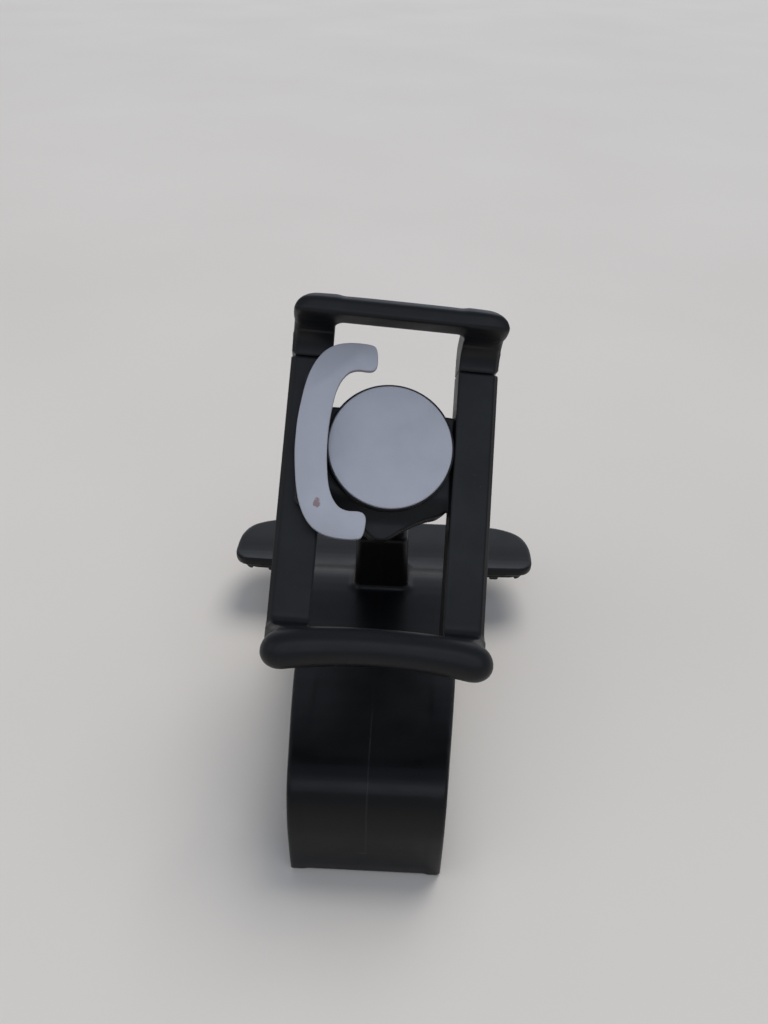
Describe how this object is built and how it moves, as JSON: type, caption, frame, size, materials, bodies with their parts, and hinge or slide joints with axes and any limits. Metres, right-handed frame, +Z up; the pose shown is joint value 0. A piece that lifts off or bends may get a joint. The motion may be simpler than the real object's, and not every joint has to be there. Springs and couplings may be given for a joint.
{
  "type": "phone mount",
  "caption": "Dashboard clip phone mount: spring jaw with wings and a pedestal, a locking ball joint, and a telescoping cradle with a round disc and a C-shaped plate.",
  "frame": {"origin": "centre of the bounding box's underside, on the surface that the closed clip lies on", "axes": "+X to the right, +Y from the hinge end towards the jaw mouth, +Z up; the user stands on the -Y side"},
  "size_m": [0.0796, 0.096, 0.0947],
  "materials": {
    "black_plastic": "semi-gloss moulded black plastic with a faint parting line",
    "frame_plastic": "semi-gloss moulded black plastic with a bluish reflection",
    "rubber": "matt ribbed rubber",
    "steel": "zinc-plated steel",
    "acetal": "natural acetal",
    "silver": "matt silver grey sheet metal",
    "foam": "adhesive foam"
  },
  "bodies": {
    "clip_body": {"upper_jaw": "black_plastic", "upper_jaw_pad": "rubber", "hinge_pin": "steel", "pin_clip": "steel", "torsion_spring_left": "steel", "torsion_spring_right": "steel"},
    "lower_jaw_body": {"lower_jaw": "black_plastic", "lower_jaw_pad": "rubber"},
    "ball": {"ball_stud": "steel", "stem_screw": "steel", "stem_washer": "steel"},
    "ball_seat": {"friction_ring": "acetal"},
    "cradle": {"hub_housing": "frame_plastic", "lower_frame": "frame_plastic", "hub_screw_1": "steel", "hub_screw_2": "steel", "hub_screw_3": "steel", "hub_screw_4": "steel", "rail_cover_left": "frame_plastic", "anchor_pin_left": "steel", "clamp_spring_left": "steel", "rail_cover_right": "frame_plastic", "anchor_pin_right": "steel", "clamp_spring_right": "steel", "disc_mount": "frame_plastic", "face_disc": "silver", "c_plate": "silver", "plate_carrier": "frame_plastic", "plate_adhesive": "foam"},
    "nut": {"lock_nut": "black_plastic"},
    "top_clamp": {"upper_slide": "frame_plastic", "slide_pin_left": "steel", "slide_pin_right": "steel"}
  },
  "joints": [
    {"name": "jaw_hinge", "type": "hinge", "parent": "clip_body", "child": "lower_jaw_body", "pos_m": [0, -0.034, 0.01], "axis": [-1, 0, 0], "range_deg": [0, 36], "stiffness_Nm_per_rad": 0.35, "springref_deg": -51.57, "deforming": ["torsion_spring_left", "torsion_spring_right"]},
    {"name": "ball_pan", "type": "hinge", "parent": "clip_body", "child": "ball", "pos_m": [0, 0.0155, 0.0557], "axis": [0, -0.1392, 0.9903], "range_deg": [-40, 20]},
    {"name": "ball_tilt", "type": "hinge", "parent": "ball", "child": "ball_seat", "pos_m": [0, 0.0155, 0.0557], "axis": [0.9851, 0.1703, 0.0239], "range_deg": [-30, 5]},
    {"name": "ball_spin", "type": "hinge", "parent": "ball_seat", "child": "cradle", "pos_m": [0, 0.0155, 0.0557], "axis": [0.1004, -0.6826, 0.7238], "range_deg": [-80, 100]},
    {"name": "nut_turn", "type": "hinge", "parent": "cradle", "child": "nut", "pos_m": [0, 0.0155, 0.0557], "axis": [0.1004, -0.6826, 0.7238], "range_deg": [-20, 180]},
    {"name": "clamp_slide", "type": "slide", "parent": "cradle", "child": "top_clamp", "axis": [0.0301, 0.7292, 0.6836], "range_m": [0, 0.029], "stiffness_N_per_m": 60, "springref_m": -0.02, "deforming": ["clamp_spring_left", "clamp_spring_right"]}
  ]
}
